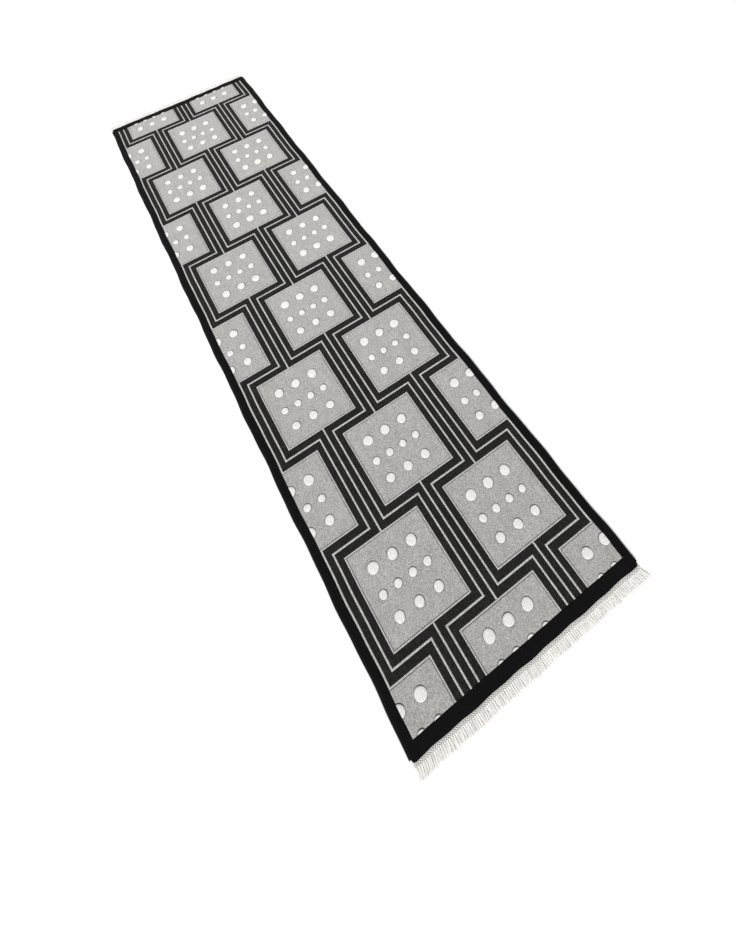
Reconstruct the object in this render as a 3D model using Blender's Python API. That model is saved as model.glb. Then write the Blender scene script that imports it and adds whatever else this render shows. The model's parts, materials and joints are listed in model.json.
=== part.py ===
"""Runner rug: cut pile on a ground weave, overcast sides, and a sewn fringe on both ends.

X runs along the rug and the near end is at +X. Y runs across it, with the left side at -Y.
The underside lies on Z = 0. The rug is made in two halves that meet at a fold line across its
middle, at X = 0, where it is folded in two for storage.
"""
import math

import bmesh
import bpy
from mathutils import Vector

# Overall sizes, in metres
PILE_LENGTH = 2.92       # from end border to end border, without the fringes
WIDTH = 0.80             # over the overcast edges
FRINGE_LENGTH = 0.033    # loose strands
HEADING_WIDTH = 0.007    # woven heading that the strands hang from

# Thicknesses, from the floor up
COAT_THICK = 0.0008
WEAVE_THICK = 0.0020
BAND_PILE = 0.0080       # black bands and border
PANEL_PILE = 0.0095      # grey panels, left a little longer
FOLD_ROOM = 0.0016       # from the panels' tops up to the fold axis, for the raised dots

# Border
SIDE_BORDER = 0.032      # across the rug, overcast edge included
END_BORDER = 0.037
CORNER_RADIUS = 0.010
BORDER_ROUND = 0.0035    # rounding of the border's outer top edge

# Pattern
ROWS = 10                # rows of panels, the first and last cut short by the end borders
END_ROW_SHOWN = 0.115    # how much of the first and last row the border leaves
LINE = 0.006             # light line between two black bands
BAND = 0.020             # black band beside a panel's side
ROW_BAND = 0.02275       # black band beside a panel's end
PANEL_ROUND = 0.0020     # rounding of a panel's top edges

# Overcast edge and fringe
EDGE_CORD_RADIUS = 0.0030
HEADING_THICK = 0.0018
STRANDS_THICK = 0.0030
STRANDS_TIP = 0.0022     # thickness at their loose ends
STRANDS_ROOT = 0.0065    # how far from the heading the bundles part
BUNDLES = 60
BUNDLE_SPACE = 0.0026    # between two bundles
BEND_THICK = 0.0002      # at the line where the strands bend
HINGE_HEIGHT = 0.0020    # where the strands bend, above the floor
HINGE_TAPER = math.radians(37)

GAP = 0.0003             # between touching pieces

# What follows from them
HALF_LENGTH = PILE_LENGTH / 2
CORD_Y = WIDTH / 2 - EDGE_CORD_RADIUS
CORD_Z = EDGE_CORD_RADIUS + GAP
CLOTH_HALF = WIDTH / 2 - 2 * EDGE_CORD_RADIUS - GAP
FIELD_HALF = WIDTH / 2 - SIDE_BORDER
FIELD_END = HALF_LENGTH - END_BORDER
WEAVE_Z = COAT_THICK + GAP
PILE_Z = WEAVE_Z + WEAVE_THICK + GAP
FOLD_Z = PILE_Z + PANEL_PILE + FOLD_ROOM
HINGE_X = HALF_LENGTH + GAP + HEADING_WIDTH

ROW_GAP = 2 * ROW_BAND + LINE
ROW_PITCH = 2 * (FIELD_END - END_ROW_SHOWN - ROW_GAP / 2) / (ROWS - 2)
PANEL_LENGTH = ROW_PITCH - ROW_GAP
COLUMN_STEP = (FIELD_HALF - LINE / 2) / 2
PANEL_WIDTH = 2 * COLUMN_STEP - 4 * BAND - 3 * LINE


def clear_scene():
    for old in list(bpy.data.objects):
        bpy.data.objects.remove(old, do_unlink=True)


def material(name, colour, roughness):
    mat = bpy.data.materials.new(name)
    mat.use_nodes = True
    shader = mat.node_tree.nodes["Principled BSDF"]
    shader.inputs["Base Color"].default_value = (*colour, 1.0)
    shader.inputs["Roughness"].default_value = roughness
    shader.inputs["Metallic"].default_value = 0.0
    mat.diffuse_color = (*colour, 1.0)
    return mat


def pivot(name, place):
    empty = bpy.data.objects.new(name, None)
    empty.empty_display_size = 0.05
    empty.location = place
    bpy.context.collection.objects.link(empty)
    return empty


def add_object(name, mesh_edit, place, mat, parent=None):
    """Turns a bmesh, drawn round its own reference point, into an object at a place."""
    mesh = bpy.data.meshes.new(name)
    mesh_edit.to_mesh(mesh)
    mesh_edit.free()
    if mat:
        mesh.materials.append(mat)
    obj = bpy.data.objects.new(name, mesh)
    bpy.context.collection.objects.link(obj)
    obj.location = Vector(place)
    if parent:
        obj.parent = parent
        obj.location = Vector(place) - parent.location
    return obj


def box_mesh(size):
    """A box that stands on its origin."""
    mesh_edit = bmesh.new()
    bmesh.ops.create_cube(mesh_edit, size=1.0)
    for vert in mesh_edit.verts:
        vert.co = Vector((vert.co.x * size[0], vert.co.y * size[1], (vert.co.z + 0.5) * size[2]))
    return mesh_edit


def round_edges(mesh_edit, wanted, radius, segments):
    edges = [edge for edge in mesh_edit.edges if wanted(*[vert.co for vert in edge.verts])]
    bmesh.ops.bevel(mesh_edit, geom=edges, offset=radius, segments=segments, profile=0.5, affect="EDGES")


def slab(name, span_x, span_y, base, thick, mat, parent=None, corner_end=0, top_round=None):
    """A flat piece over two spans. corner_end rounds its two corners at that end of the rug,
    and top_round = (radius, test of an edge's middle) rounds edges of its top."""
    size = (span_x[1] - span_x[0], span_y[1] - span_y[0], thick)
    mesh_edit = box_mesh(size)
    if corner_end:
        round_edges(
            mesh_edit,
            lambda a, b: abs(a.z - b.z) > thick / 2 and a.x * corner_end > 0,
            CORNER_RADIUS,
            4,
        )
    if top_round:
        radius, wanted = top_round
        round_edges(
            mesh_edit,
            lambda a, b: min(a.z, b.z) > thick * 0.99 and wanted((a + b) / 2),
            radius,
            2,
        )
    place = ((span_x[0] + span_x[1]) / 2, (span_y[0] + span_y[1]) / 2, base)
    return add_object(name, mesh_edit, place, mat, parent)


def prism(name, profile, width, place, mat, parent=None):
    """An outline in X and Z, carried across the rug."""
    mesh_edit = bmesh.new()
    verts = [mesh_edit.verts.new((x, -width / 2, z)) for x, z in profile]
    face = mesh_edit.faces.new(verts)
    made = bmesh.ops.extrude_face_region(mesh_edit, geom=[face])
    moved = [item for item in made["geom"] if isinstance(item, bmesh.types.BMVert)]
    bmesh.ops.translate(mesh_edit, verts=moved, vec=(0.0, width, 0.0))
    bmesh.ops.recalc_face_normals(mesh_edit, faces=mesh_edit.faces)
    return add_object(name, mesh_edit, place, mat, parent)


def half_span(end, inner, outer):
    """A span along the rug in the half at that end: +1 near, -1 far."""
    return tuple(sorted((end * inner, end * outer)))


def panel_spans(end):
    """Every panel of one half: its name, its span along the rug and its span across it."""
    spans = []
    for row in range(1, ROWS + 1):
        middle = (row - (ROWS + 1) / 2) * ROW_PITCH
        if middle * end < 0:
            continue
        along = (
            max(middle - PANEL_LENGTH / 2, -FIELD_END),
            min(middle + PANEL_LENGTH / 2, FIELD_END),
        )
        if row % 2:
            places = {"left": -COLUMN_STEP, "right": COLUMN_STEP}
        else:
            places = {"left_half": -2 * COLUMN_STEP, "centre": 0.0, "right_half": 2 * COLUMN_STEP}
        for side, y in places.items():
            across = (
                max(y - PANEL_WIDTH / 2, -FIELD_HALF),
                min(y + PANEL_WIDTH / 2, FIELD_HALF),
            )
            spans.append((f"panel_{row:02d}_{side}", along, across))
    return spans


def make_cloth(half, end, parent, mats):
    """The ground weave that holds the pile, and the coat that locks it from below."""
    along = half_span(end, GAP / 2, HALF_LENGTH)
    across = (-CLOTH_HALF, CLOTH_HALF)
    slab(f"back_coat_{half}", along, across, 0.0, COAT_THICK, mats["coat"], parent, end)
    slab(f"ground_weave_{half}", along, across, WEAVE_Z, WEAVE_THICK, mats["weave"], parent, end)


def make_border(half, end, parent, mats):
    """Black pile round the field, and the overcast cords that bind the two sides."""
    pile = mats["border"]
    inner = FIELD_HALF + GAP
    for side, sign in (("left", -1), ("right", 1)):
        across = tuple(sorted((sign * inner, sign * CLOTH_HALF)))
        along = half_span(end, GAP / 2, FIELD_END)
        outer = (BORDER_ROUND, lambda mid, s=sign: mid.y * s > 0 and abs(mid.x) < 0.001)
        slab(f"border_{side}_{half}", along, across, PILE_Z, BAND_PILE, pile, parent, 0, outer)
        make_edge_cord(f"overcast_edge_{side}_{half}", end, sign, parent, mats["edge"])
    along = half_span(end, FIELD_END + GAP, HALF_LENGTH)
    outer = (BORDER_ROUND, lambda mid: mid.x * end > 0)
    slab(
        f"border_end_{half}", along, (-CLOTH_HALF, CLOTH_HALF), PILE_Z, BAND_PILE, pile,
        parent, end, outer,
    )


def make_edge_cord(name, end, sign, parent, mat):
    length = HALF_LENGTH - CORNER_RADIUS - GAP / 2
    mesh_edit = bmesh.new()
    bmesh.ops.create_cone(
        mesh_edit, cap_ends=True, segments=12, radius1=EDGE_CORD_RADIUS,
        radius2=EDGE_CORD_RADIUS, depth=length,
    )
    for vert in mesh_edit.verts:
        vert.co = Vector((vert.co.z, vert.co.y, -vert.co.x))
    place = (end * (GAP / 2 + length / 2), sign * CORD_Y, CORD_Z)
    cord = add_object(name, mesh_edit, place, mat, parent)
    cord.data.shade_smooth()
    cord.data.set_sharp_from_angle(angle=math.radians(50))


def make_panels(end, parent, mats):
    """Grey pile, one piece for each panel, with a rounded top edge."""
    for name, along, across in panel_spans(end):
        rounding = (PANEL_ROUND, lambda mid: True)
        slab(
            name, shrink(along), shrink(across), PILE_Z, PANEL_PILE, mats["panel"],
            parent, 0, rounding,
        )


def shrink(span):
    return (span[0] + GAP / 2, span[1] - GAP / 2)


def make_bands(half, end, parent, mats):
    """The black pile between the panels: one net of bands, open where the panels stand."""
    along = half_span(end, GAP / 2, FIELD_END)
    net = slab(
        f"band_pile_{half}", along, (-FIELD_HALF, FIELD_HALF), PILE_Z, BAND_PILE,
        mats["band"], parent,
    )
    cutter = panel_cutter(f"panel_cutter_{half}", end)
    cut = net.modifiers.new("panel openings", "BOOLEAN")
    cut.operation = "DIFFERENCE"
    cut.solver = "EXACT"
    cut.object = cutter


def panel_cutter(name, end):
    """Boxes a gap larger than the panels, carried past the net where a panel reaches its edge."""
    past = 0.01
    mesh_edit = bmesh.new()
    for _, along, across in panel_spans(end):
        x0, x1 = (value + past * step for value, step in zip(along, overrun(along, FIELD_END)))
        y0, y1 = (value + past * step for value, step in zip(across, overrun(across, FIELD_HALF)))
        made = bmesh.ops.create_cube(mesh_edit, size=1.0)["verts"]
        for vert in made:
            vert.co.x = x0 - GAP / 2 if vert.co.x < 0 else x1 + GAP / 2
            vert.co.y = y0 - GAP / 2 if vert.co.y < 0 else y1 + GAP / 2
            vert.co.z = PILE_Z - past if vert.co.z < 0 else PILE_Z + BAND_PILE + past
    cutter = add_object(name, mesh_edit, (0.0, 0.0, 0.0), None)
    cutter.hide_render = True
    cutter.display_type = "WIRE"
    return cutter


def overrun(span, limit):
    """-1 and +1 where a span's low and high ends reach the field's edge, else 0."""
    return (-1 if span[0] <= -limit else 0, 1 if span[1] >= limit else 0)


def make_fringe(half, end, half_parent, hinge, mats):
    """The woven heading sewn to the rug's end, and the strands that swing from its edge.
    Both taper to the line where the strands bend, so that neither enters the other."""
    width = 2 * CLOTH_HALF
    heading_taper = HEADING_THICK / 2 / math.tan(HINGE_TAPER)
    heading = [
        (-HEADING_WIDTH, -HEADING_THICK / 2),
        (-heading_taper - GAP / 2, -HEADING_THICK / 2),
        (-GAP / 2, 0.0),
        (-heading_taper - GAP / 2, HEADING_THICK / 2),
        (-HEADING_WIDTH, HEADING_THICK / 2),
    ]
    place = (end * HINGE_X, 0.0, HINGE_HEIGHT)
    prism(
        f"fringe_heading_{half}", [(end * x, z) for x, z in heading], width, place,
        mats["heading"], half_parent,
    )
    make_strands(f"fringe_strands_{half}", end, width, place, mats["fringe"], hinge)


def make_strands(name, end, width, place, mat, parent):
    """One sheet that parts into bundles: rows of cells across the rug, with every second cell
    of the last row left out."""
    taper = STRANDS_THICK / 2 / math.tan(HINGE_TAPER)
    stations = [
        (GAP / 2, BEND_THICK),
        (GAP / 2 + taper, STRANDS_THICK),
        (STRANDS_ROOT, STRANDS_THICK),
        (FRINGE_LENGTH - GAP, STRANDS_TIP),
    ]
    pitch = (width + BUNDLE_SPACE) / BUNDLES
    lows = [-width / 2 + pitch * bundle for bundle in range(BUNDLES)]
    across = [y for low in lows for y in (low, low + pitch - BUNDLE_SPACE)]
    mesh_edit = bmesh.new()
    verts = {}
    for i, (x, thick) in enumerate(stations):
        for j, y in enumerate(across):
            for side in (-1, 1):
                verts[i, j, side] = mesh_edit.verts.new((end * x, y, side * thick / 2))
    last = len(stations) - 2
    cells = {
        (i, j) for i in range(last + 1) for j in range(len(across) - 1) if i < last or j % 2 == 0
    }
    for i, j in sorted(cells):
        for side in (-1, 1):
            corners = ((i, j), (i + 1, j), (i + 1, j + 1), (i, j + 1))
            mesh_edit.faces.new([verts[a, b, side] for a, b in corners])
        walls = {
            (i - 1, j): ((i, j), (i, j + 1)),
            (i + 1, j): ((i + 1, j), (i + 1, j + 1)),
            (i, j - 1): ((i, j), (i + 1, j)),
            (i, j + 1): ((i, j + 1), (i + 1, j + 1)),
        }
        for neighbour, (a, b) in walls.items():
            if neighbour not in cells:
                mesh_edit.faces.new([verts[(*a, -1)], verts[(*b, -1)], verts[(*b, 1)], verts[(*a, 1)]])
    loose = [vert for vert in mesh_edit.verts if not vert.link_faces]
    bmesh.ops.delete(mesh_edit, geom=loose, context="VERTS")
    bmesh.ops.recalc_face_normals(mesh_edit, faces=mesh_edit.faces)
    return add_object(name, mesh_edit, place, mat, parent)


def make_materials():
    return {
        "coat": material("back_coat", (0.55, 0.50, 0.42), 0.75),
        "weave": material("ground_weave", (0.50, 0.45, 0.37), 0.95),
        "border": material("border_pile", (0.006, 0.006, 0.009), 0.95),
        "edge": material("overcast_yarn", (0.006, 0.006, 0.008), 0.90),
        "band": material("band_pile", (0.016, 0.016, 0.016), 0.95),
        "panel": material("panel_pile", (0.36, 0.36, 0.35), 0.95),
        "heading": material("fringe_heading", (0.74, 0.70, 0.60), 0.90),
        "fringe": material("fringe_yarn", (0.84, 0.81, 0.73), 0.90),
    }


def build():
    clear_scene()
    mats = make_materials()
    fold = pivot("middle_fold", (0.0, 0.0, FOLD_Z))
    for half, end, parent in (("near", 1, None), ("far", -1, fold)):
        hinge = pivot(f"{half}_fringe_hinge", (end * HINGE_X, 0.0, HINGE_HEIGHT))
        make_cloth(half, end, parent, mats)
        make_border(half, end, parent, mats)
        make_bands(half, end, parent, mats)
        make_panels(end, parent, mats)
        make_fringe(half, end, parent, hinge, mats)


build()
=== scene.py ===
"""The runner rug's looks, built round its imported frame.

X runs along the rug with the near end at +X, and Y runs across it with the left side at -Y. It
lies on Z = 0, and folds in two across its middle, at X = 0, the far half coming over the near.
"""
import json
import math

import bpy
import numpy as np
from mathutils import Matrix, Vector


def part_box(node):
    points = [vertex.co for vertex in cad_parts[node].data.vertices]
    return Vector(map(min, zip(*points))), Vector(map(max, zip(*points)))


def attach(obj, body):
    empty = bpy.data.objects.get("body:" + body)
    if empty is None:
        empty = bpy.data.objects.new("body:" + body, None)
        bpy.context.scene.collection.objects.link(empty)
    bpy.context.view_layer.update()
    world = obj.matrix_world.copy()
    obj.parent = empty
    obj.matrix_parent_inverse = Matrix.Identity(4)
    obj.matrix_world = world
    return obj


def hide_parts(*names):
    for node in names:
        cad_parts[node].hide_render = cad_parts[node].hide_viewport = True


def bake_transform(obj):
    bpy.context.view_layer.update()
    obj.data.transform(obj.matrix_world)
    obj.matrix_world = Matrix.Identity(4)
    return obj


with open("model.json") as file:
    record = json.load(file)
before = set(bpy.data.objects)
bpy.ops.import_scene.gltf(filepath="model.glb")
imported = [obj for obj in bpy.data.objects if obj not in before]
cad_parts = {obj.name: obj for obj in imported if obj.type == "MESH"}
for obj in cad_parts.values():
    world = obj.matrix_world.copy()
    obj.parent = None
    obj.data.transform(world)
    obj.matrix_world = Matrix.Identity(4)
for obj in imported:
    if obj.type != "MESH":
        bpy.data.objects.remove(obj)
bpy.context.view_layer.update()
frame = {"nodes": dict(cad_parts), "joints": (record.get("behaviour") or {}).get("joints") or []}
bpy.ops.object.select_all(action="DESELECT")


# Ground weave
# The cloth that holds the tufts, woven in one piece from end to end of the rug out of coarse
# jute and cotton. Everything else is carried by it, and only its cut sides show.
FOLD_END = (-0.045, 0.0, 0.0)
FOLD_STEP = 0.0015
FOLD_MARGIN = 0.003               # the lines this far past both ends of the bend are kept too
CORNER_RADIUS = 0.010
CORNER_STEP = CORNER_RADIUS / 4
SIDE_BOW = 0.009                  # the middle of the rug lies this far to the left of its ends
SIDE_WAVE = 0.0017                # the long edges wander by this much
SIDE_RIPPLE = 0.0007
END_WAVE = 0.0006                 # and the two ends by this much
END_RIPPLE = 0.0008
LIFT = 0.0008                     # the rug doesn't lie quite flat
JUTE_STEP = 0.020
JUTE_YARN = 0.0040                # from one yarn to the next
CALM_STEP = 0.10                  # lines this far apart are enough on a hidden side
LEAST_GAP = 0.0004                # grid lines stand further apart than this
SAME_PLACE = 1e-5
LEVEL = 0.9                       # a face whose normal has more than this along Z is a level one
BANDS_PER_METRE = 3.1             # in a wave texture whose scale is 1


def spread(stops, step):
    """Grid lines at every stop, and evenly between them about a step apart."""
    lines = []
    for low, high in zip(stops, stops[1:]):
        count = max(1, round((high - low) / step))
        lines += [low + (high - low) * part / count for part in range(count)]
    return lines + [stops[-1]]


def read_points(obj):
    points = np.empty(len(obj.data.vertices) * 3, np.float32)
    obj.data.vertices.foreach_get("co", points)
    return points.reshape(-1, 3).astype(float)


def write_points(obj, points):
    obj.data.vertices.foreach_set("co", points.astype(np.float32).ravel())
    obj.data.update()


def work_on(obj):
    bpy.ops.object.select_all(action="DESELECT")
    obj.select_set(True)
    bpy.context.view_layer.objects.active = obj


def lay_grid(name, along, across, height):
    """A flat grid whose lines lie where they are wanted."""
    bpy.ops.mesh.primitive_grid_add(
        x_subdivisions=len(along) - 1, y_subdivisions=len(across) - 1, size=1.0,
    )
    obj = bpy.context.object
    obj.name = name
    points = read_points(obj)
    columns = np.rint((points[:, 0] + 0.5) * (len(along) - 1)).astype(int)
    rows = np.rint((points[:, 1] + 0.5) * (len(across) - 1)).astype(int)
    points = np.column_stack([np.array(along)[columns], np.array(across)[rows],
                              np.full(len(points), height)])
    write_points(obj, points)
    return obj


def pick(obj, kind, wanted):
    """Goes into edit mode with only the wanted faces or edges selected."""
    work_on(obj)
    bpy.ops.object.mode_set(mode="EDIT")
    bpy.ops.mesh.select_mode(type=kind)
    bpy.ops.mesh.select_all(action="DESELECT")
    bpy.ops.object.mode_set(mode="OBJECT")
    items = obj.data.polygons if kind == "FACE" else obj.data.edges
    items.foreach_set("select", np.asarray(wanted, bool))
    bpy.ops.object.mode_set(mode="EDIT")


def face_values(obj, what):
    values = np.empty(len(obj.data.polygons) * 3, np.float32)
    obj.data.polygons.foreach_get(what, values)
    return values.reshape(-1, 3)


def edge_ends(obj):
    """The points at the first and at the second end of every edge, by number."""
    ends = np.empty(len(obj.data.edges) * 2, int)
    obj.data.edges.foreach_get("vertices", ends)
    return ends[0::2], ends[1::2]


def inner_edges(obj, faces):
    """Edges with one of these faces on both sides."""
    mesh = obj.data
    corners = np.empty(len(mesh.polygons), int)
    mesh.polygons.foreach_get("loop_total", corners)
    edge_of_corner = np.empty(len(mesh.loops), int)
    mesh.loops.foreach_get("edge_index", edge_of_corner)
    sides = np.bincount(edge_of_corner[np.repeat(faces, corners)], minlength=len(mesh.edges))
    return sides == 2


def merge_close(values, apart=LEAST_GAP):
    """Sorted places, with one kept of any that are closer together than this."""
    kept = []
    for value in sorted(values):
        if not kept or value - kept[-1] > apart:
            kept.append(value)
    return kept


def thicken(obj, depth, stops=((), ()), hidden="underside"):
    """Gives a flat sheet its depth, downwards, and dissolves the lines of its hidden side,
    apart from the stops along and across the rug and those that the fold needs."""
    solid = obj.modifiers.new("depth", "SOLIDIFY")
    solid.thickness = depth
    solid.offset = -1.0
    work_on(obj)
    bpy.ops.object.modifier_apply(modifier=solid.name)
    points = read_points(obj)
    first, second = (points[ends] for ends in edge_ends(obj))
    over = np.abs(first[:, 0] - second[:, 0]) < np.abs(first[:, 1] - second[:, 1])
    kept = over & (first[:, 0] > FOLD_END[0] - FOLD_MARGIN) & (first[:, 0] < FOLD_MARGIN)
    for axis, places in enumerate(stops):
        for place in places:
            kept |= (over == (axis == 0)) & (np.abs(first[:, axis] - place) < SAME_PLACE)
    facing = face_values(obj, "normal")[:, 2] * (-1 if hidden == "underside" else 1)
    pick(obj, "EDGE", inner_edges(obj, facing > LEVEL) & ~kept)
    bpy.ops.mesh.dissolve_edges(use_verts=True)
    bpy.ops.object.mode_set(mode="OBJECT")


def round_corners(points, half_length, half_width, radius):
    """Draws the square corners of a rectangle in to an arc."""
    u = np.abs(points[:, 0]) - (half_length - radius)
    v = np.abs(points[:, 1]) - (half_width - radius)
    corner = (u > 0) & (v > 0)
    u, v = u[corner], v[corner]
    share = np.maximum(u, v) / np.hypot(u, v)
    signs = np.sign(points[corner, :2])
    points[corner, 0] = signs[:, 0] * (half_length - radius + u * share)
    points[corner, 1] = signs[:, 1] * (half_width - radius + v * share)


def settle(obj):
    """Keeps each point's place on the flat rug for the patterns of the materials, and then lays
    it as the real rug lies: bowed a little to one side, with edges that aren't dead straight.
    The high powers leave everything but the edge itself where it is."""
    points = read_points(obj)
    laid = obj.data.attributes.new("laid", "FLOAT_VECTOR", "POINT")
    laid.data.foreach_set("vector", points.astype(np.float32).ravel())
    x, y = points[:, :2].T.copy()
    end = np.minimum(np.abs(x) / half_length, 1.0)
    side = np.minimum(np.abs(y) / half_width, 1.0)
    points[:, 1] -= SIDE_BOW * (1 - end ** 2)
    points[:, 1] += np.sign(y) * side ** 6 * (
        SIDE_WAVE * np.sin(x * 19.0 + y) + SIDE_RIPPLE * np.sin(x * 47.0 + 1.0)
    )
    points[:, 0] += np.sign(x) * end ** 60 * (
        END_WAVE * np.sin(y * 31.0 + x) + END_RIPPLE * np.sin(y * 67.0 + 2.0)
    )
    points[:, 2] += LIFT * (1 + np.sin(x * 6.1 + 0.4) * np.sin(y * 9.0 + 1.1))
    write_points(obj, points)


def fasten(obj, half, nodes=()):
    """Near pieces move with the near half. Far pieces that end short of the bend move with the far
    half; those that reach into it are left unattached, with their place baked into their points."""
    if half == "near":
        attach(obj, "near_half")
    elif read_points(obj)[:, 0].max() < FOLD_END[0]:
        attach(obj, "far_half")
    else:
        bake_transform(obj)
    if nodes:
        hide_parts(*nodes)


def start_finish(name, roughness, sheen):
    """A dull textile finish, with the node that gives a point's place on the flat rug."""
    finish = bpy.data.materials.new(name)
    finish.use_nodes = True
    shader = finish.node_tree.nodes["Principled BSDF"]
    shader.inputs["Roughness"].default_value = roughness
    shader.inputs["Specular IOR Level"].default_value = 0.12
    shader.inputs["Sheen Weight"].default_value = sheen
    shader.inputs["Sheen Roughness"].default_value = 0.6
    place = add_node(finish, "ShaderNodeAttribute", attribute_name="laid")
    return finish, shader, place.outputs["Vector"]


def add_node(finish, kind, values=(), **settings):
    node = finish.node_tree.nodes.new(kind)
    for name, value in settings.items():
        setattr(node, name, value)
    for name, value in dict(values).items():
        node.inputs[name].default_value = value
    return node


def link(finish, source, target):
    finish.node_tree.links.new(source, target)


def noise(finish, place, size, detail=2.0):
    """Soft random patches of about this size, from 0 to 1."""
    cloud = add_node(finish, "ShaderNodeTexNoise", {"Scale": 1.0 / size, "Detail": detail})
    link(finish, place, cloud.inputs["Vector"])
    return cloud.outputs["Fac"]


def ramp(finish, value, stops):
    """Turns a value into colours, given as (value, colour) stops."""
    node = add_node(finish, "ShaderNodeValToRGB")
    elements = node.color_ramp.elements
    while len(elements) < len(stops):
        elements.new(0.5)
    for element, (at, colour) in zip(elements, stops):
        element.position = at
        element.color = (*colour, 1.0)
    link(finish, value, node.inputs["Fac"])
    return node.outputs["Color"]


def tint(finish, colour, by, amount=1.0):
    """Multiplies one colour by another."""
    mix = add_node(
        finish, "ShaderNodeMix", data_type="RGBA", blend_type="MULTIPLY", clamp_factor=True,
    )
    mix.inputs[0].default_value = amount
    link(finish, colour, mix.inputs[6])
    link(finish, by, mix.inputs[7])
    return mix.outputs[2]


def grey(value):
    return (value, value, value)


def raise_by(finish, shader, height, depth, strength=1.0):
    """Relief from a height between 0 and 1."""
    bump = add_node(finish, "ShaderNodeBump", {"Distance": depth, "Strength": strength})
    link(finish, height, bump.inputs["Height"])
    link(finish, bump.outputs["Normal"], shader.inputs["Normal"])


def yarn_ridges(finish, place, direction, distortion):
    """A ridge for each yarn, one after another along X or Y."""
    ridges = add_node(
        finish, "ShaderNodeTexWave",
        {"Scale": 1.0 / JUTE_YARN / BANDS_PER_METRE, "Distortion": distortion},
        bands_direction=direction,
    )
    link(finish, place, ridges.inputs["Vector"])
    return ridges.outputs["Fac"]


def cloth_finish():
    """Plain weave: yarns over and under each other both ways."""
    finish, shader, place = start_finish("jute weave", 0.9, 0.2)
    waves = [yarn_ridges(finish, place, direction, 0.6) for direction in ("X", "Y")]
    crossing = add_node(finish, "ShaderNodeMath", operation="MAXIMUM")
    link(finish, waves[0], crossing.inputs[0])
    link(finish, waves[1], crossing.inputs[1])
    # Painted shade: the yarns are light tan on their crowns and dark brown where they dip under
    # each other.
    colour = ramp(
        finish, crossing.outputs[0], [(0.1, (0.16, 0.11, 0.065)), (0.9, (0.48, 0.38, 0.25))],
    )
    patches = ramp(finish, noise(finish, place, 0.03), [(0.3, grey(0.85)), (0.7, grey(1.0))])
    link(finish, tint(finish, colour, patches), shader.inputs["Base Color"])
    raise_by(finish, shader, crossing.outputs[0], 0.0006)
    return finish


weave_low, weave_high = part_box("ground_weave_near")
half_length, half_width = weave_high.x, weave_high.y


def cloth_lines(step):
    """Grid lines along and across the whole rug, close together at the fold and the corners."""
    inner = half_length - CORNER_RADIUS
    along = (
        spread([-half_length, -inner], CORNER_STEP)[:-1]
        + spread([-inner, FOLD_END[0]], JUTE_STEP)[:-1]
        + spread([FOLD_END[0], 0.0], FOLD_STEP)[:-1]
        + spread([0.0, inner], JUTE_STEP)[:-1]
        + spread([inner, half_length], CORNER_STEP)
    )
    inner = half_width - CORNER_RADIUS
    across = (
        spread([-half_width, -inner], CORNER_STEP)[:-1]
        + spread([-inner, inner], step)[:-1]
        + spread([inner, half_width], CORNER_STEP)
    )
    return along, across


along, across = cloth_lines(JUTE_STEP)
calm_lines = (merge_close(along, CALM_STEP), merge_close(across, CALM_STEP))
ground_weave = lay_grid("ground_weave", along, across, weave_high.z)
thicken(ground_weave, weave_high.z - weave_low.z, calm_lines)
points = read_points(ground_weave)
round_corners(points, half_length, half_width, CORNER_RADIUS)
write_points(ground_weave, points)
settle(ground_weave)
ground_weave.data.materials.append(cloth_finish())
fasten(ground_weave, "far", ["ground_weave_near", "ground_weave_far"])


# Back coat
# A thin coat of latex that locks the tufts in from below. It takes the ribs of the weave under
# it, in soft patches of lighter and darker latex, with painted shade in the grooves between the
# ribs.
COAT_RIB = 0.0004


def coat_finish():
    finish, shader, place = start_finish("latex back coat", 0.7, 0.0)
    ribs = yarn_ridges(finish, place, "X", 0.8)
    patches = noise(finish, place, 0.08, 4.0)
    colour = ramp(finish, patches, [(0.3, (0.36, 0.31, 0.24)), (0.7, (0.50, 0.45, 0.36))])
    # painted shade: darker in the grooves between the ribs, lighter on their crowns
    shade = ramp(finish, ribs, [(0.0, grey(0.7)), (0.6, grey(1.0))])
    link(finish, tint(finish, colour, shade), shader.inputs["Base Color"])
    raise_by(finish, shader, ribs, COAT_RIB)
    return finish


coat_low, coat_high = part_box("back_coat_near")
along, across = cloth_lines(JUTE_YARN / 2)
back_coat = lay_grid("back_coat", along, across, coat_high.z)
thicken(
    back_coat, coat_high.z - coat_low.z, (calm_lines[0], merge_close(across, CALM_STEP)), "top",
)
points = read_points(back_coat)
below = points[:, 2] < coat_high.z / 2
grooves = below & (np.rint(points[:, 1] / (JUTE_YARN / 2)) % 2 == 1)
points[grooves, 2] += COAT_RIB
round_corners(points, half_length, half_width, CORNER_RADIUS)
write_points(back_coat, points)
settle(back_coat)
back_coat.data.materials.append(coat_finish())
back_coat.data.shade_smooth()
fasten(back_coat, "far", ["back_coat_near", "back_coat_far"])


# Border
# Black wool pile all round the field, a little denser than the rest, with its outer edge
# clipped round. One frame of pile, made here as a near half and a far half.
HALVES = (("near", 1), ("far", -1))
BORDER_STEP = 0.0030
BORDER_ROUND = 0.0035
BORDER_TURN = 0.0024              # how far out on the round edge its extra line of points lies
BORDER_TOP = 0.002                # points less than this below the top are part of it
PILE_NOISE = 0.00022


def stretched(finish, place, scale):
    """A place, measured in pattern sizes along each axis."""
    mapping = add_node(finish, "ShaderNodeMapping", {"Scale": scale})
    link(finish, place, mapping.inputs["Vector"])
    return mapping.outputs["Vector"]


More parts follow.
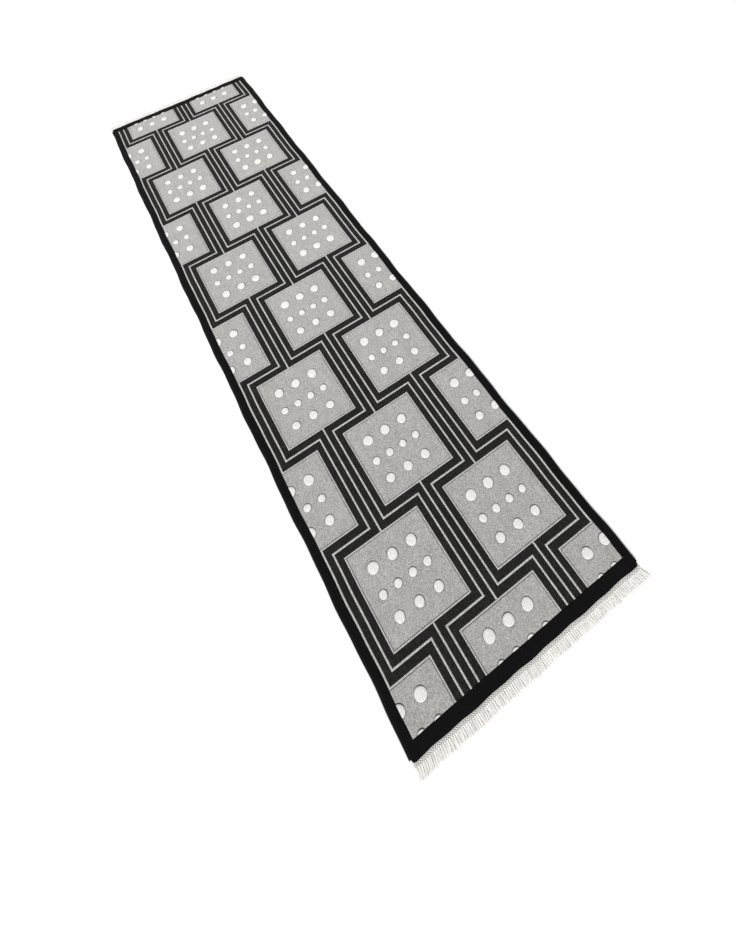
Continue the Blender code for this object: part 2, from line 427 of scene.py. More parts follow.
def paint_shade_below(finish, place, colour, low, high):
    """Painted shade: the colour as it is above one height, darkened to almost black below the
    other.
    """
    axes = add_node(finish, "ShaderNodeSeparateXYZ")
    link(finish, place, axes.inputs["Vector"])
    share = add_node(
        finish, "ShaderNodeMapRange", {"From Min": low, "From Max": high}, clamp=True,
    )
    link(finish, axes.outputs["Z"], share.inputs["Value"])
    # painted shade, from none at the higher height to almost black at the lower
    painted_shade = ramp(finish, share.outputs["Result"], [(0.0, grey(0.10)), (1.0, grey(1.0))])
    return tint(finish, colour, painted_shade)


def pile_finish(name, tones, tuft, mottle, sheen, gap_shade=0.55, streak=0.0, shade_heights=None):
    """Cut pile: tufts that each have a tone of their own, with painted shade where they part, in
    soft patches that are partly the wool's own tone and partly painted light and shade where the
    pile leans another way, and with a streak, in painted shade along the rug where the pile leans.
    Given two heights, it paints shade that darkens the pile from the higher down to almost black at
    the lower, in its hollows and down its sides."""
    finish, shader, place = start_finish(name, 0.95, sheen)
    tufts = add_node(finish, "ShaderNodeTexVoronoi", {"Scale": 1.0 / tuft, "Randomness": 0.85})
    link(finish, place, tufts.inputs["Vector"])
    channels = add_node(finish, "ShaderNodeSeparateColor")
    link(finish, tufts.outputs["Color"], channels.inputs["Color"])
    colour = ramp(finish, channels.outputs["Red"], tones)
    # Painted shade: each tuft darkens towards its edge, where the tufts part.
    painted_gap_shade = ramp(finish, tufts.outputs["Distance"], [(0.25, grey(1.0)), (0.75, grey(gap_shade))])
    colour = tint(finish, colour, painted_gap_shade)
    # Soft patches, partly the wool's own tone and partly painted light and shade of pile that leans
    # another way.
    patches = ramp(
        finish, noise(finish, place, 0.055, 3.0),
        [(0.3, grey(1.0 - mottle)), (0.7, grey(1.0))],
    )
    colour = tint(finish, colour, patches)
    if streak:
        # Painted shade: darker streaks along the rug, where the pile leans.
        lean = noise(finish, stretched(finish, place, (1.0, 5.0, 1.0)), 0.05, 3.0)
        painted_lean_shade = ramp(finish, lean, [(0.35, grey(1.0 - streak)), (0.65, grey(1.0))])
        colour = tint(finish, colour, painted_lean_shade)
    if shade_heights:
        colour = paint_shade_below(finish, place, colour, *shade_heights)
    link(finish, colour, shader.inputs["Base Color"])
    rounded = add_node(finish, "ShaderNodeMath", {0: 1.0}, operation="SUBTRACT")
    link(finish, tufts.outputs["Distance"], rounded.inputs[1])
    fibres = add_node(finish, "ShaderNodeMath", operation="MULTIPLY_ADD")
    link(finish, noise(finish, place, tuft / 4, 2.0), fibres.inputs[0])
    fibres.inputs[1].default_value = 0.5
    link(finish, rounded.outputs[0], fibres.inputs[2])
    raise_by(finish, shader, fibres.outputs[0], tuft * 0.35, 0.8)
    return finish


def top_points(points):
    return points[:, 2] > points[:, 2].max() - SAME_PLACE


def roughen(obj, amount, seed):
    """Tufts never end at one height, and lean a little each its own way."""
    points = read_points(obj)
    top = np.flatnonzero(top_points(points))
    draw = np.random.default_rng(seed)
    points[top] += draw.normal(0.0, 1.0, (len(top), 3)) * amount
    write_points(obj, points)


def half_lines(high, end, step, stops):
    """Grid lines along one half, from the fold line outwards, with one at each stop."""
    lines = spread([0.0, *sorted(stop for stop in stops if 0.0 < stop < high), high], step)
    return lines if end > 0 else [-value for value in reversed(lines)]


border_low, border_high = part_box("border_end_near")
field_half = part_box("band_pile_near")[1].y
field_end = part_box("band_pile_near")[1].x
border_finish = pile_finish(
    "black border pile",
    [(0.0, (0.0012, 0.0012, 0.0017)), (0.6, (0.0021, 0.0021, 0.0028)),
     (1.0, (0.0046, 0.0046, 0.0056))],
    tuft=0.0026, mottle=0.3, sheen=0.02,
)
outer = half_length - BORDER_ROUND
side = half_width - BORDER_ROUND
x_stops = [field_end, outer, outer + BORDER_TURN]
y_stops = [field_half, side, side + BORDER_TURN, half_width]
across = spread([-y for y in reversed(y_stops)] + y_stops, BORDER_STEP)
for half, end in HALVES:
    along = half_lines(half_length, end, BORDER_STEP, x_stops)
    border = lay_grid(f"border_pile_{half}", along, across, border_high.z)
    centres = face_values(border, "center")
    field = (np.abs(centres[:, 0]) < field_end) & (np.abs(centres[:, 1]) < field_half)
    pick(border, "FACE", field)
    bpy.ops.mesh.delete(type="FACE")
    bpy.ops.object.mode_set(mode="OBJECT")
    thicken(border, border_high.z - border_low.z, ([end * field_end], [-field_half, field_half]))
    roughen(border, PILE_NOISE, 11 + end)
    points = read_points(border)
    high = points[:, 2] > border_high.z - BORDER_TOP
    inside = np.minimum(half_width - np.abs(points[:, 1]), half_length - np.abs(points[:, 0]))
    depth = np.clip(BORDER_ROUND - inside, 0.0, BORDER_ROUND)
    fall = BORDER_ROUND - np.sqrt(BORDER_ROUND ** 2 - depth ** 2)
    points[high, 2] -= fall[high]
    round_corners(points, half_length, half_width, CORNER_RADIUS)
    write_points(border, points)
    settle(border)
    border.data.materials.append(border_finish)
    border.data.shade_smooth()
    fasten(
        border, half,
        [f"border_end_{half}", f"border_left_{half}", f"border_right_{half}"],
    )


# Overcast sides
# A cord runs down each long side and is whipped to the ground weave with black yarn, turn by
# turn, which binds the cut edge.
WHIP_PITCH = 0.0042
WHIP_SIDES = 8
WHIP_RINGS = 3                    # points along one turn of yarn
WHIP_DEPTH = 0.00030
WHIP_BITE = 0.0008                # the turns draw the cord in against the edge by this much
WHIP_LEAN = 0.25                  # each turn leans over by this share of its length


def cut_across(obj, axis, least, cuts):
    """Cuts the edges that reach further than this along an axis into equal parts."""
    points = read_points(obj)
    first, second = edge_ends(obj)
    pick(obj, "EDGE", np.abs(points[first, axis] - points[second, axis]) > least)
    bpy.ops.mesh.subdivide(number_cuts=cuts)
    bpy.ops.object.mode_set(mode="OBJECT")


def whip_finish():
    finish, shader, place = start_finish("overcast yarn", 0.85, 0.03)
    strands = noise(finish, stretched(finish, place, (1.0, 0.15, 0.15)), 0.0008, 2.0)
    colour = ramp(finish, strands, [(0.3, (0.0035, 0.0035, 0.0045)), (0.7, (0.013, 0.013, 0.015))])
    link(finish, colour, shader.inputs["Base Color"])
    raise_by(finish, shader, strands, 0.0003)
    return finish


whip = whip_finish()
for half, end in HALVES:
    for side in ("left", "right"):
        node = f"overcast_edge_{side}_{half}"
        low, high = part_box(node)
        turns = round((high.x - low.x) / WHIP_PITCH)
        length = (high.x - low.x) / turns
        radius = (high.z - low.z) / 2
        bpy.ops.mesh.primitive_cylinder_add(
            vertices=WHIP_SIDES, radius=radius, depth=length, end_fill_type="NOTHING",
            rotation=(0.0, math.pi / 2, 0.0),
        )
        cord = bpy.context.object
        cord.name = f"whipped_{side}_{half}"
        bpy.ops.object.transform_apply(location=True, rotation=True, scale=True)
        cut_across(cord, 0, length / 2, WHIP_RINGS - 1)
        points = read_points(cord)
        phase = np.arctan2(points[:, 2], points[:, 1])
        waist = np.abs(points[:, 0]) > length / 2 - SAME_PLACE
        points[:, 1:] *= np.where(waist, 1 - WHIP_DEPTH * 2 / radius, 1.0)[:, None]
        points[:, 0] += WHIP_LEAN * length * np.sin(phase)
        write_points(cord, points)
        row = cord.modifiers.new("turns", "ARRAY")
        row.count = turns
        row.use_relative_offset = False
        row.use_constant_offset = True
        row.constant_offset_displace = (length, 0.0, 0.0)
        row.use_merge_vertices = True
        row.merge_threshold = 0.0001
        work_on(cord)
        bpy.ops.object.modifier_apply(modifier=row.name)
        bpy.ops.object.mode_set(mode="EDIT")
        bpy.ops.mesh.select_mode(type="EDGE")
        bpy.ops.mesh.select_all(action="DESELECT")
        bpy.ops.mesh.select_non_manifold(extend=False)
        bpy.ops.mesh.edge_face_add()
        bpy.ops.object.mode_set(mode="OBJECT")
        points = read_points(cord)
        drawn_in = WHIP_BITE if side == "left" else -WHIP_BITE
        points += (low.x + length / 2, (low.y + high.y) / 2 + drawn_in, (low.z + high.z) / 2)
        points[:, 0] = end * np.maximum(end * points[:, 0], 0.0)
        write_points(cord, points)
        settle(cord)
        cord.data.materials.append(whip)
        cord.data.shade_smooth()
        fasten(cord, half, [node])


# Bands and light lines
# Black wool bands fill the ground between the grey panels. A narrow light line runs down the
# middle of each pair of bands: it steps out and in round the panels, and straight lines join
# the panels of one column.
BAND_STEP = 0.0028
BAND_SHOULDER = 0.0009            # rounded off where pile of one colour meets the next
LINE = 0.0056
LINE_PROUD = 0.0006
SLACK = 0.001                     # pieces that end this close to the border reach up to it
OPENING_SLACK = 2e-4              # the bands keep this far from the panels in their openings

panels = {
    name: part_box(name) for name in frame["nodes"] if name.startswith("panel_")
}
whole_low, whole_high = panels["panel_07_left"]
panel_long = whole_high.x - whole_low.x
panel_wide = whole_high.y - whole_low.y
odd_left = (whole_low.y + whole_high.y) / 2
row_pitch = panels["panel_08_centre"][0].x - whole_low.x
row_gap = row_pitch - panel_long
row_middle = {row: (row - 5.5) * row_pitch for row in range(1, 11)}
band = (-2 * whole_high.y - 3 * LINE) / 4
beside = panel_wide / 2 + band + LINE / 2


def panel_places(row):
    """The middles of one row's panels, across the rug."""
    return (odd_left, -odd_left) if row % 2 else (2 * odd_left, 0.0, -2 * odd_left)


def line_spans():
    """Every stretch of light line, as its lowest and highest point along and across the rug."""
    spans = []
    for row in range(1, 11):
        low = max(row_middle[row] - (panel_long + row_gap) / 2, -field_end)
        high = min(row_middle[row] + (panel_long + row_gap) / 2, field_end)
        for place in panel_places(row):
            for y in (place - beside, place + beside):
                if abs(y) < field_half:
                    spans.append((low - LINE / 2, high + LINE / 2, y - LINE / 2, y + LINE / 2))
        for y in panel_places(row + 1):
            spans.append((low - row_gap / 2, high + row_gap / 2, y - LINE / 2, y + LINE / 2))
    steps = ((odd_left - beside, 2 * odd_left + beside), (-beside, odd_left + beside))
    for row in range(1, 10):
        x = (row_middle[row] + row_middle[row + 1]) / 2
        for side in (-1, 1):
            for step in steps:
                low, high = sorted(side * y for y in step)
                spans.append((x - LINE / 2, x + LINE / 2, low - LINE / 2, high + LINE / 2))
    return spans


def inside_any(centres, spans):
    found = np.zeros(len(centres), bool)
    for x0, x1, y0, y1 in spans:
        found |= (
            (centres[:, 0] > x0) & (centres[:, 0] < x1)
            & (centres[:, 1] > y0) & (centres[:, 1] < y1)
        )
    return found


lines = line_spans()
openings = [
    (low.x - OPENING_SLACK, high.x + OPENING_SLACK, low.y - OPENING_SLACK, high.y + OPENING_SLACK)
    for low, high in panels.values()
]
x_stops = merge_close(abs(x) for span in openings + lines for x in span[:2])
y_stops = merge_close(y for span in openings + lines for y in span[2:])
x_stops = [x for x in x_stops if SLACK < x < field_end - SLACK]
y_stops = [y for y in y_stops if abs(y) < field_half - SLACK]
band_finish = pile_finish(
    "black band pile",
    [(0.0, (0.0080, 0.0080, 0.0076)), (0.5, (0.0150, 0.0150, 0.0142)),
     (1.0, (0.030, 0.030, 0.0285))],
    tuft=0.0027, mottle=0.25, sheen=0.03,
)
line_finish = pile_finish(
    "light line pile",
    [(0.0, (0.43, 0.425, 0.41)), (0.5, (0.585, 0.58, 0.56)), (1.0, (0.72, 0.71, 0.68))],
    tuft=0.0024, mottle=0.10, sheen=0.1, gap_shade=0.62,
)


def round_shoulders(obj, width, rounds=1):
    """Bevels the edges where the top of the pile turns down."""
    high = top_points(read_points(obj))
    first, second = edge_ends(obj)
    level = face_values(obj, "normal")[:, 2] > LEVEL
    pick(obj, "EDGE", high[first] & high[second] & ~inner_edges(obj, level))
    bpy.ops.mesh.bevel(offset=width, segments=rounds, profile=0.5, affect="EDGES")
    bpy.ops.object.mode_set(mode="OBJECT")


band_low, band_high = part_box("band_pile_near")
for half, end in HALVES:
    along = half_lines(field_end, end, BAND_STEP, x_stops)
    across = spread([-field_half, *y_stops, field_half], BAND_STEP)
    bands = lay_grid(f"bands_{half}", along, across, band_high.z)
    centres = face_values(bands, "center")
    pick(bands, "FACE", inside_any(centres, openings))
    bpy.ops.mesh.delete(type="FACE")
    bpy.ops.object.mode_set(mode="OBJECT")
    centres = face_values(bands, "center")
    pick(bands, "FACE", inside_any(centres, lines))
    bpy.ops.mesh.separate(type="SELECTED")
    bpy.ops.object.mode_set(mode="OBJECT")
    light = next(obj for obj in bpy.context.selected_objects if obj != bands)
    light.name = f"light_lines_{half}"
    for piece, finish, slot, nodes, proud, seed in (
        (bands, band_finish, "band_pile", [f"band_pile_{half}"], 0.0, 21),
        (light, line_finish, "line_pile", [], LINE_PROUD, 31),
    ):
        points = read_points(piece)
        points[:, 2] += proud
        write_points(piece, points)
        thicken(piece, band_high.z - band_low.z + proud, ([end * x for x in x_stops], y_stops))
        round_shoulders(piece, BAND_SHOULDER)
        roughen(piece, PILE_NOISE, seed + end)
        settle(piece)
        piece.data.materials.append(finish)
        piece.data.shade_smooth()
        fasten(piece, half, nodes)


# Grey panels
# Heathered grey wool, left a little longer than the bands. A narrow light rim runs round each
# panel, and a line is carved inside the rim, down between the tufts.
PANEL_STEP = 0.0021
RIM = 0.0046
CARVED = 0.0014
PANEL_SHOULDER = 0.0014
DOT_ROWS = (                      # share along a panel, radius, and shares across it
    (0.255, 0.0168, (0.230, 0.485, 0.740)),
    (0.520, 0.0125, (0.190, 0.385, 0.580, 0.775)),
    (0.775, 0.0150, (0.230, 0.485, 0.740)),
)
TURNED_ROWS = (3, 4, 5)           # these rows of panels have their dots the other way round
LAST_ROW_SHARE = 0.200            # the first dots of the row by the near border stand here
CUT_ROW_SHOWS = 0.006             # the row of four shows this much at the two end borders
CARVE_WIDE = 0.0040               # the pile is carved down round each dot
CARVE_DEEP = 0.0032               # as far as this at its far right
CARVE_SHALLOW = 0.12              # and this share of it at its near left; the deeper far right takes more of the pile's painted shade, as a painted shadow on the side away from the light
CARVE_INSIDE = 0.001              # full depth is reached this far inside a dot's edge
CARVE_CLEAR = 0.003               # points this close to the rim aren't drawn to a dot
RING_REACH = PANEL_STEP * 0.55    # points this close to a dot's edge are drawn on to it
PANEL_TOP = 0.001                 # points less than this below the top are part of it


def inset(node, width):
    """A panel's span without a strip of this width along each side, apart from those sides that
    the border cuts short."""
    low, high = panels[node]
    return (
        low.x + (width if low.x > -field_end + SLACK else 0.0),
        high.x - (width if high.x < field_end - SLACK else 0.0),
        low.y + (width if low.y > -field_half + SLACK else 0.0),
        high.y - (width if high.y < field_half - SLACK else 0.0),
    )


def whole_span(low, high, size, limit):
    """The span that a panel would have if the border didn't cut it."""
    if low < -limit + SLACK:
        return high - size, high
    if high > limit - SLACK:
        return low, low + size
    return low, high


def dot_places(node):
    """Where a panel's dots stand, each as its place along and across the rug and its radius."""
    low, high = panels[node]
    x0, x1 = whole_span(low.x, high.x, panel_long, field_end)
    y0, y1 = whole_span(low.y, high.y, panel_wide, field_half)
    places = []
    if int(node[6:8]) in TURNED_ROWS:
        x0, x1 = x1, x0
    for along_share, radius, across_shares in DOT_ROWS:
        if node.startswith("panel_10"):
            along_share = max(LAST_ROW_SHARE, along_share - (DOT_ROWS[0][0] - LAST_ROW_SHARE))
        x = x0 + along_share * (x1 - x0)
        if 0 < abs(x) - field_end < 2 * radius:
            x = math.copysign(field_end + radius - CUT_ROW_SHOWS, x)
        for share in across_shares:
            y = y0 + share * (y1 - y0)
            if abs(x) < field_end + radius and abs(y) < field_half + radius:
                places.append((x, y, radius))
    return places


def carve_round_dots(obj, node):
    """Draws the nearest points on to each dot's circle, and sinks the pile there and inside."""
    low, high = panels[node]
    points = read_points(obj)
    clear = RIM + CARVE_CLEAR
    inner = (points[:, 0] > low.x + clear) & (points[:, 0] < high.x - clear)
    inner &= (points[:, 1] > low.y + clear) & (points[:, 1] < high.y - clear)
    top = points[:, 2] > high.z - PANEL_TOP
    cut = np.zeros(len(points))
    for x, y, radius in dot_places(node):
        aside = points[:, :2] - (x, y)
        away = np.maximum(np.hypot(*aside.T), 1e-6)
        ring = top & inner & (np.abs(away - radius) < RING_REACH)
        points[ring, :2] = (x, y) + aside[ring] * (radius / away[ring])[:, None]
        away[ring] = radius
        # the ring is carved deeper at its far right, where the pile's painted shade makes a painted
        # shadow crescent
        far_right = 0.5 + 0.5 * (aside[:, 1] - aside[:, 0]) / away / math.sqrt(2)
        depth = CARVE_SHALLOW + (1 - CARVE_SHALLOW) * far_right
        near = np.clip(1 - (away - radius) / CARVE_WIDE, 0.0, 1.0)
        cut = np.maximum(cut, np.where(away < radius - CARVE_INSIDE, 1.0, near * depth))
    points[top, 2] -= CARVE_DEEP * cut[top]
    write_points(obj, points)


panel_finish = pile_finish(
    "heathered grey pile",
    [(0.0, (0.294, 0.287, 0.275)), (0.3, (0.402, 0.394, 0.381)), (0.7, (0.460, 0.451, 0.434)),
     (1.0, (0.568, 0.558, 0.534))],
    tuft=0.0026, mottle=0.08, sheen=0.35, gap_shade=0.72, streak=0.06,
    # painted shade: the pile darkens to almost black in the carved rings round the dots and down
    # its rounded shoulders
    shade_heights=(whole_high.z - 0.0030, whole_high.z - 0.0005),
)


def join(pieces, name):
    """Makes one piece of many."""
    bpy.ops.object.select_all(action="DESELECT")
    for piece in pieces:
        piece.select_set(True)
    joined = pieces[0]
    bpy.context.view_layer.objects.active = joined
    bpy.ops.object.join()
    joined.name = name
    return joined


rims = {"near": [], "far": []}
for count, (node, (low, high)) in enumerate(sorted(panels.items())):
    half = "near" if low.x > 0 else "far"
    x0, x1, y0, y1 = inset(node, RIM + CARVED)
    field = lay_grid(
        f"grey_pile_{node[6:]}", spread([x0, x1], PANEL_STEP), spread([y0, y1], PANEL_STEP), high.z,
    )
    thicken(field, high.z - low.z)
    round_shoulders(field, PANEL_SHOULDER, 2)
    roughen(field, PILE_NOISE * 1.2, 100 + count)
    carve_round_dots(field, node)
    settle(field)
    field.data.materials.append(panel_finish)
    field.data.shade_smooth()
    fasten(field, half, [node])
    x0, x1, y0, y1 = inset(node, RIM)
    along = spread(sorted({low.x, x0, x1, high.x}), PANEL_STEP)
    across = spread(sorted({low.y, y0, y1, high.y}), PANEL_STEP)
    rim = lay_grid(f"rim_{node[6:]}", along, across, high.z)
    pick(rim, "FACE", inside_any(face_values(rim, "center"), [(x0, x1, y0, y1)]))
    bpy.ops.mesh.delete(type="FACE")
    bpy.ops.object.mode_set(mode="OBJECT")
    thicken(rim, high.z - low.z)
    round_shoulders(rim, PANEL_SHOULDER)
    roughen(rim, PILE_NOISE, 200 + count)
    rims[half].append(rim)

for half, pieces in rims.items():
    joined = join(pieces, f"panel_rims_{half}")
    settle(joined)
    joined.data.materials.append(line_finish)
    joined.data.shade_smooth()
    fasten(joined, half)


# Cream dots
# Ten round dots stand out of each whole panel, of thick cream wool cut to a low dome: a row of
# three, a row of four smaller ones and a row of three. The border cuts off those at its edge.
DOT_PROUD = 0.0024
DOT_SUNK = 0.0035
DOT_SIDES = 16
DOT_OVAL = 0.03                   # no dot is cut quite round
DOT_LUMPS = 0.02
DOT_LARGER = 0.04                 # or just as large as the next, either way
DOME_STEPS = (                    # inwards on a dot of radius 1, and upwards by a share of its rise
    (0.05, 0.55),
    (0.13, 0.30),
    (0.30, 0.15),
)


def copy_of(obj):
    copy = obj.copy()
    copy.data = obj.data.copy()
    bpy.context.collection.objects.link(copy)
    return copy


bpy.ops.mesh.primitive_cylinder_add(
    vertices=DOT_SIDES, radius=1.0, depth=DOT_SUNK, location=(0.0, 0.0, -DOT_SUNK / 2),
)
dome = bpy.context.object
dome.name = "dome"
bpy.ops.object.transform_apply(location=True, rotation=True, scale=True)
pick(dome, "FACE", face_values(dome, "normal")[:, 2] > LEVEL)
for width, rise in DOME_STEPS:
    bpy.ops.mesh.inset(thickness=width, depth=rise * DOT_PROUD)
bpy.ops.object.mode_set(mode="OBJECT")

draw = np.random.default_rng(5)
dots = {"near": [], "far": []}
base = read_points(dome)
angle = np.arctan2(base[:, 1], base[:, 0])
for node, (low, high) in sorted(panels.items()):
    half = "near" if low.x > 0 else "far"
    for x, y, radius in dot_places(node):
        dot = copy_of(dome)
        wobble = 1 + DOT_OVAL * np.sin(2 * angle + draw.uniform(0, 6))
        wobble += DOT_LUMPS * np.sin(3 * angle + draw.uniform(0, 6))
        points = base.copy()
        size = radius * draw.uniform(1 - DOT_LARGER, 1 + DOT_LARGER)
        points[:, :2] *= (size * wobble)[:, None]
        points += (x, y, high.z)
        write_points(dot, points)
        dots[half].append(dot)
bpy.data.objects.remove(dome)

dot_finish = pile_finish(
    "cream dot pile",
    [(0.0, (0.69, 0.672, 0.648)), (0.5, (0.785, 0.765, 0.742)), (1.0, (0.845, 0.828, 0.805))],
    tuft=0.0024, mottle=0.04, sheen=0.1, gap_shade=0.80,
    # painted shade: the sides of the dots darken below the pile's cut height, to almost black
    # further down
    shade_heights=(whole_high.z - 0.0030, whole_high.z - 0.0002),
)
for half, end in HALVES:
    joined = join(dots[half], f"cream_dots_{half}")
    bpy.ops.object.mode_set(mode="EDIT")
    bpy.ops.mesh.select_mode(type="FACE")
    for place, outward in (
        ((end * field_end, 0.0, 0.0), (end, 0.0, 0.0)),
        ((0.0, field_half, 0.0), (0.0, 1.0, 0.0)),
        ((0.0, -field_half, 0.0), (0.0, -1.0, 0.0)),
    ):
        bpy.ops.mesh.select_all(action="SELECT")
        bpy.ops.mesh.bisect(plane_co=place, plane_no=outward, use_fill=True, clear_outer=True)
    bpy.ops.object.mode_set(mode="OBJECT")
    settle(joined)
    joined.data.materials.append(dot_finish)
    joined.data.shade_smooth()
    fasten(joined, half)


# Fringe heading
# A narrow tape sewn under each end of the rug, covered with crossed cotton stitches that catch
# the fringe's yarns. The tape's ground lies below them and is painted almost black, as painted
# shade in the small slots between them, beside a thin cord.
BUNDLES = 118                     # bundles of yarn in each fringe, with one cross at each
STITCH_THICK = 0.00075
STITCH_SLANT = math.radians(50)
STITCH_FLAT = 1.35                # a stitch of soft yarn is pressed this much wider than thick
STITCH_CROSSED = 0.3              # the lower stitch of a cross is pressed down by this share
LIP = 0.0007                      # radius of the cord along the border
TAPE_LONG_STEP = 0.0017
TAPE_WIDE_STEP = 0.008
TAPE_DROP = 1.9 * STITCH_THICK    # from the top of the stitches to the tape


def cotton_finish(name, tones, size, grain, shade_heights=None):
    """Soft cotton yarn with fine strands that run one way, with painted shade that darkens it below
    a height.
    """
    finish, shader, place = start_finish(name, 0.9, 0.25)
    strands = noise(finish, stretched(finish, place, grain), size, 3.0)
    colour = ramp(finish, strands, tones)
    patches = ramp(finish, noise(finish, place, 0.012), [(0.3, grey(0.95)), (0.7, grey(1.0))])
    colour = tint(finish, colour, patches)
    if shade_heights:
        colour = paint_shade_below(finish, place, colour, *shade_heights)
    link(finish, colour, shader.inputs["Base Color"])
    raise_by(finish, shader, strands, size * 0.5)
    return finish


tape_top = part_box("fringe_heading_near")[1].z
# Painted shade: below the stitches the tape darkens to almost black, for the shade in the slots
# between the crosses.
tape_finish = cotton_finish(
    "cotton tape", [(0.3, (0.78, 0.76, 0.70)), (0.7, (0.93, 0.91, 0.87))],
    size=0.0009, grain=(1.0, 0.3, 1.0),
    shade_heights=(tape_top - 1.8 * STITCH_THICK, tape_top - 1.3 * STITCH_THICK),
)
for half, end in HALVES:
    low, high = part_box(f"fringe_heading_{half}")
    inner, outer = sorted((abs(low.x), abs(high.x)))
    along = sorted(end * x for x in spread([inner, outer], TAPE_LONG_STEP))
    across = spread([low.y, high.y], TAPE_WIDE_STEP)
    ground = high.z - TAPE_DROP
    tape = lay_grid(f"heading_tape_{half}", along, across, ground)
    thicken(tape, ground - low.z)
    width = high.y - low.y
    bpy.ops.mesh.primitive_cylinder_add(
        vertices=8, radius=LIP, depth=width, rotation=(math.pi / 2, 0.0, 0.0),
    )
    lip = bpy.context.object
    bpy.ops.object.transform_apply(location=True, rotation=True, scale=True)
    cut_across(lip, 1, width / 2, BUNDLES)
    write_points(lip, read_points(lip) + (end * (inner + 0.6 * LIP), 0.0, high.z - LIP))
    bpy.ops.mesh.primitive_cylinder_add(
        vertices=6, radius=STITCH_THICK, depth=(outer - inner - LIP) / math.cos(STITCH_SLANT),
        rotation=(0.0, math.pi / 2, 0.0),
    )
    stitch = bpy.context.object
    bpy.ops.object.transform_apply(location=True, rotation=True, scale=True)
    shape = read_points(stitch) * (1.0, STITCH_FLAT, 1.0)
    pieces = [tape, lip]
    for number in range(BUNDLES):
        y = low.y + width * (number + 0.5) / BUNDLES
        for turn, below in ((-1, 1 + STITCH_CROSSED), (1, 1.0)):
            copy = copy_of(stitch)
            slant = Matrix.Rotation(turn * STITCH_SLANT, 3, "Z")
            place = (end * (inner + outer + LIP) / 2, y, high.z - STITCH_THICK * below)
            write_points(copy, shape @ np.array(slant.transposed()) + place)
            pieces.append(copy)
    bpy.data.objects.remove(stitch)
    tape = join(pieces, f"heading_tape_{half}")
    settle(tape)
    tape.data.materials.append(tape_finish)
    tape.data.shade_smooth()
    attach(tape, f"{half}_half")
    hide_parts(f"fringe_heading_{half}")


# Fringe
# Loose cotton yarns hang from each heading in small bundles. They lie on the floor, splay a
# little at the corners, and are cut by hand, so no two are quite the same length.
YARNS = 5
YARN_RADIUS = 0.00070
YARN_CUTS = 6
YARN_TAPER = 0.15                 # a yarn loses this share of its thickness up to its tip
YARN_CURL = 0.0003                # it wanders this far sideways
YARN_ARCH = 0.0008                # and rises off the floor by up to this much half way along
YARN_LIFT = 0.0012                # where it lies on others, it is higher by up to this much
YARN_PARTING = 0.001              # the tips of a bundle part by about this much
YARN_FALL = 0.3                   # it comes down to the floor over this share of its length
SPLAY = 0.010                     # the bundles at the corners lean outwards by this much
LEAN = 0.0009                     # and each bundle by some more either way
SPREAD = 0.62                     # of the pitch of the bundles is taken up by the yarns' centres
SHADE_YARN = 0.00045                # a short thin yarn lies flat on the floor between the bundles, where painted shade near the floor makes it dark, standing in for the shade in the gaps
SHADE_YARN_FALL = 0.06

# Painted shade: the yarns darken near the floor, under them and on the low yarns between the
# bundles.
fringe_finish = cotton_finish(
    "fringe yarn",
    [(0.30, (0.60, 0.57, 0.51)), (0.44, (0.88, 0.86, 0.82)), (0.7, (0.95, 0.94, 0.92))],
    size=0.0020, grain=(0.12, 1.0, 1.0), shade_heights=(0.0004, 0.0012),
)
joint_places = {joint["name"]: joint["pos_m"] for joint in frame["joints"]}
draw = np.random.default_rng(17)
for half, end in HALVES:
    low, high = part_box(f"fringe_strands_{half}")
    root, tip = sorted((abs(low.x), abs(high.x)))
    height = joint_places[f"{half}_fringe_swing"][2]
    bpy.ops.mesh.primitive_cylinder_add(
        vertices=6, radius=1.0, depth=1.0, location=(0.5, 0.0, 0.0),
        rotation=(0.0, math.pi / 2, 0.0),
    )
    yarn = bpy.context.object
    bpy.ops.object.transform_apply(location=True, rotation=True, scale=True)
    cut_across(yarn, 0, 0.5, YARN_CUTS)
    shape = read_points(yarn)
    t = np.clip(shape[:, 0], 0.0, 1.0) ** 1.3
    pitch = (high.y - low.y) / BUNDLES
    pieces = []
    for bundle in range(BUNDLES):
        y = low.y + pitch * (bundle + 0.5)
        lean = SPLAY * (abs(y) / high.y) ** 5 * math.copysign(1.0, y) + draw.normal(0.0, LEAN)
        reach = (tip - root) * draw.uniform(0.955, 1.0)
        for number in range(YARNS + 1):
            shade_yarn = number == YARNS
            place = 0.5 / SPREAD if shade_yarn else number / (YARNS - 1) - 0.5
            length = reach * (draw.uniform(0.45, 0.7) if shade_yarn else draw.uniform(0.965, 1.0))
            thick = SHADE_YARN if shade_yarn else YARN_RADIUS * draw.uniform(0.85, 1.15)
            drift = lean + place * draw.uniform(0.2, 1.6) * YARN_PARTING
            aside = place * pitch * SPREAD + drift * t ** 1.6
            aside += YARN_CURL * np.sin(t * draw.uniform(3, 7) + draw.uniform(0, 6)) * t
            rest = thick * 1.05 + (0.0 if shade_yarn else draw.uniform(0.0, YARN_LIFT))
            fallen = np.clip(t / (SHADE_YARN_FALL if shade_yarn else YARN_FALL), 0, 1)
            rise = rest + (height - rest) * (1 - fallen) ** 2
            if not shade_yarn:
                rise += YARN_ARCH * np.sin(t * math.pi) * draw.uniform(0, 1)
            taper = 1 - YARN_TAPER * t
            points = np.column_stack([
                end * (root + length * t),
                y + aside + shape[:, 1] * thick * taper,
                rise + shape[:, 2] * thick * taper * end,
            ])
            copy = copy_of(yarn)
            write_points(copy, points)
            pieces.append(copy)
    bpy.data.objects.remove(yarn)
    strands = join(pieces, f"fringe_yarns_{half}")
    settle(strands)
    strands.data.materials.append(fringe_finish)
    strands.data.shade_smooth()
    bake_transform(strands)
    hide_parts(f"fringe_strands_{half}")


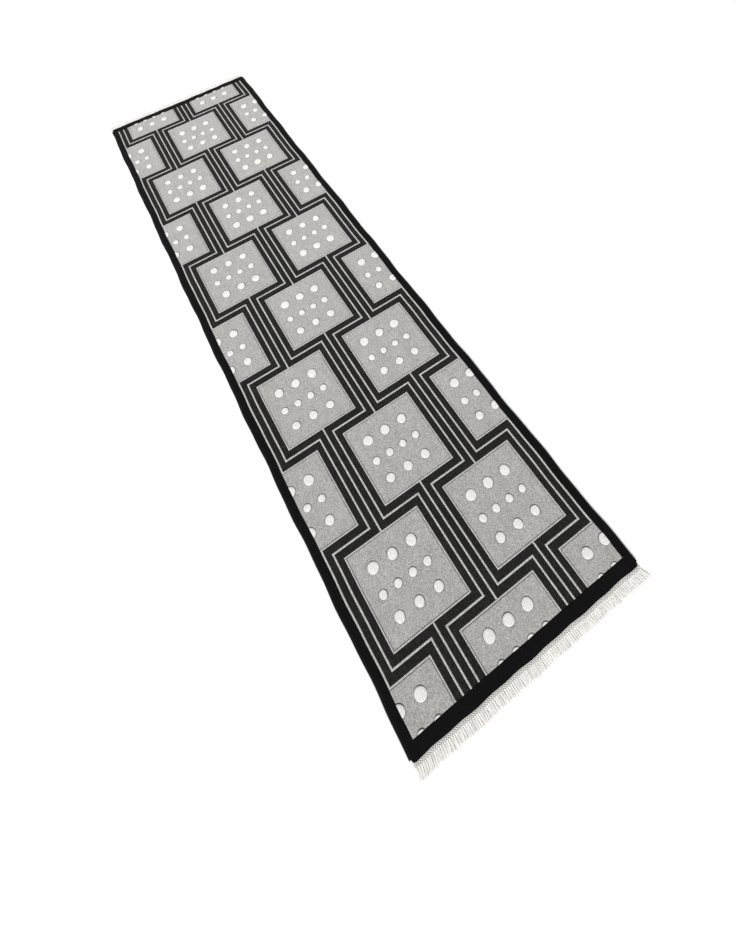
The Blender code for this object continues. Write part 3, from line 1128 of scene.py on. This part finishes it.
# Floor, light and camera
# A plain near-white floor in a bright room. The main light comes from the near left, and a
# weaker one hangs over the far half.
bpy.ops.mesh.primitive_plane_add(size=300.0, location=(0.0, 0.0, -0.0005))
floor = bpy.context.object
floor.name = "floor"
floor_finish, floor_shader, _ = start_finish("pale floor", 0.9, 0.0)
floor_shader.inputs["Base Color"].default_value = (0.92, 0.92, 0.92, 1.0)
floor.data.materials.append(floor_finish)

world = bpy.data.worlds.new("studio")
world.use_nodes = True
world.node_tree.nodes["Background"].inputs["Color"].default_value = (1.0, 1.0, 1.0, 1.0)
world.node_tree.nodes["Background"].inputs["Strength"].default_value = 0.70
bpy.context.scene.world = world

bpy.ops.object.light_add(type="SUN", location=(2.0, -2.0, 1.8))
key = bpy.context.object
key.name = "key_light"
key.data.energy = 2.7
key.data.angle = math.radians(4.0)
key.rotation_euler = Vector((2.0, -1.6, 1.6)).to_track_quat("Z", "Y").to_euler()

bpy.ops.object.light_add(type="AREA", location=(-0.7, 0.1, 1.5))
fill = bpy.context.object
fill.name = "far_fill_light"
fill.data.shape = "RECTANGLE"
fill.data.size = 2.6
fill.data.size_y = 1.2
fill.data.energy = 9.0
fill.visible_camera = False

CAMERA_PLACE = (1.3594, -0.2617, 1.9691)
AZIMUTH, ELEVATION, ROLL = (math.radians(angle) for angle in (64.24, 49.52, -7.77))
back = Vector((
    math.sin(AZIMUTH) * math.cos(ELEVATION),
    -math.cos(AZIMUTH) * math.cos(ELEVATION),
    math.sin(ELEVATION),
))
right = (-back).cross(Vector((0.0, 0.0, 1.0))).normalized()
up = right.cross(-back)
axes = Matrix((
    right * math.cos(ROLL) + up * math.sin(ROLL),
    up * math.cos(ROLL) - right * math.sin(ROLL),
    back,
)).transposed()
bpy.ops.object.camera_add(location=CAMERA_PLACE)
camera = bpy.context.object
camera.rotation_euler = axes.to_euler()
camera.data.lens = 21.34
camera.data.sensor_width = 36.0
camera.data.shift_y = -0.28
bpy.context.scene.camera = camera
bpy.context.scene.view_settings.view_transform = "Standard"
